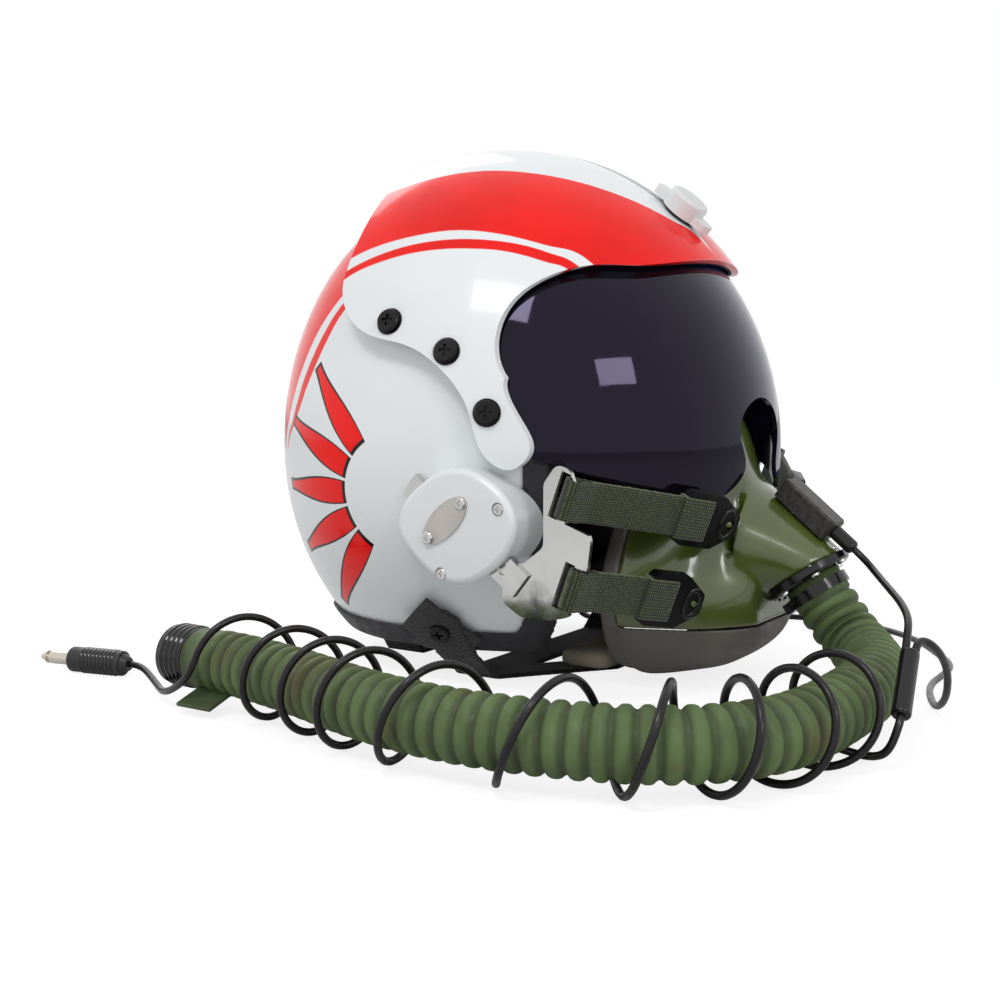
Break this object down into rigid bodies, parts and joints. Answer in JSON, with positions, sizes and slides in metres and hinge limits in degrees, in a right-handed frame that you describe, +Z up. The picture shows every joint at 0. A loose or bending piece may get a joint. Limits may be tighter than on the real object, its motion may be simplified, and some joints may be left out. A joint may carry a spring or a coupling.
{
  "type": "pilot flight helmet",
  "caption": "Flight helmet with a smoke visor under a cover, an oxygen mask on side bayonets, a ribbed hose and a comm cord wound round the hose.",
  "frame": {"origin": "on the floor under the middle of the box of the object without its hose and cords", "axes": "+Z up, the face looks along -Y, the wearer's right side is at -X"},
  "size_m": [0.385, 0.4132, 0.2573],
  "materials": {
    "shell_white": "high gloss paint",
    "edge_rubber": "satin, fine leather grain",
    "foam": "matt foam",
    "lining": "matt leather cloth",
    "black_plastic": "satin moulding",
    "black_metal": "satin black",
    "smoke_lens": "glossy dark smoke",
    "white_plastic": "matt moulding",
    "label_metal": "brushed",
    "bright_metal": "bright",
    "webbing": "woven",
    "black_strap": "matt",
    "chin_leather": "matt",
    "mask_green": "glossy",
    "mask_grey": "matt",
    "hose_green": "matt",
    "cord_black": "glossy",
    "pin_metal": "bright"
  },
  "bodies": {
    "helmet": {"shell": "shell_white", "edge_roll": "edge_rubber", "energy_liner": "foam", "crown_pad": "lining", "brow_pad": "lining", "nape_pad": "lining", "ear_cup_right": "black_plastic", "ear_cup_left": "black_plastic", "ear_seal_right": "lining", "ear_seal_left": "lining", "earphone_right": "black_plastic", "earphone_left": "black_plastic", "cheek_pad_right": "lining", "cheek_pad_left": "lining", "ear_spacers": "foam", "visor_cover": "shell_white", "cover_trim": "edge_rubber", "cover_screws": "black_metal", "cover_spacers": "edge_rubber", "receiver_right": "white_plastic", "receiver_left": "white_plastic", "label_plate_right": "label_metal", "label_plate_left": "label_metal", "receiver_screws": "bright_metal", "chin_strap": "black_strap", "nape_strap": "black_strap", "chin_pad": "chin_leather", "strap_screws": "black_metal"},
    "visor": {"visor_lens": "smoke_lens", "visor_slider": "black_plastic", "knob_gasket": "edge_rubber"},
    "mask": {"mask_shell": "mask_green", "face_seal": "mask_grey", "microphone": "black_plastic", "mic_connector": "black_plastic", "mic_plug": "black_plastic", "port_flange": "black_metal", "port_screws": "black_metal", "hose_clamp": "black_metal", "valve_body": "black_plastic", "hose": "hose_green", "hose_connector": "black_plastic", "comm_cord": "cord_black", "mic_cord": "cord_black", "branch_cord": "cord_black", "cord_junction": "black_plastic", "plug_body": "black_plastic", "plug_pin": "pin_metal", "bayonet_bracket_right": "bright_metal", "bayonet_bracket_left": "bright_metal", "upper_strap_right": "webbing", "upper_strap_left": "webbing", "lower_strap_right": "webbing", "lower_strap_left": "webbing", "upper_buckles": "black_metal", "lower_buckles": "black_metal"},
    "knob": {"visor_knob": "white_plastic"},
    "lever_right": {"release_lever_right": "white_plastic"},
    "lever_left": {"release_lever_left": "white_plastic"},
    "valve": {"valve_disc": "mask_grey"}
  },
  "joints": [
    {"name": "visor_raise", "type": "hinge", "parent": "helmet", "child": "visor", "pos_m": [0, 0.0385, 0.1084], "axis": [-1, 0, 0], "range_deg": [0, 45]},
    {"name": "lock_knob", "type": "hinge", "parent": "visor", "child": "knob", "pos_m": [0, -0.05991, 0.22161], "axis": [0, -0.6561, 0.7547], "range_deg": [0, 90]},
    {"name": "mask_slide", "type": "slide", "parent": "helmet", "child": "mask", "axis": [0, -0.788, -0.6157], "range_m": [0, 0.008]},
    {"name": "lever_right_turn", "type": "hinge", "parent": "helmet", "child": "lever_right", "pos_m": [-0.1165, -0.0105, 0.081], "axis": [1, 0, 0], "range_deg": [0, 16], "stiffness_Nm_per_rad": 0.05, "springref_deg": -11.46},
    {"name": "lever_left_turn", "type": "hinge", "parent": "helmet", "child": "lever_left", "pos_m": [0.1165, -0.0105, 0.081], "axis": [1, 0, 0], "range_deg": [0, 16], "stiffness_Nm_per_rad": 0.05, "springref_deg": -11.46},
    {"name": "valve_lift", "type": "slide", "parent": "mask", "child": "valve", "axis": [0, 0.585, 0.8111], "range_m": [0, 0.0015], "stiffness_N_per_m": 60, "springref_m": -0.001}
  ]
}
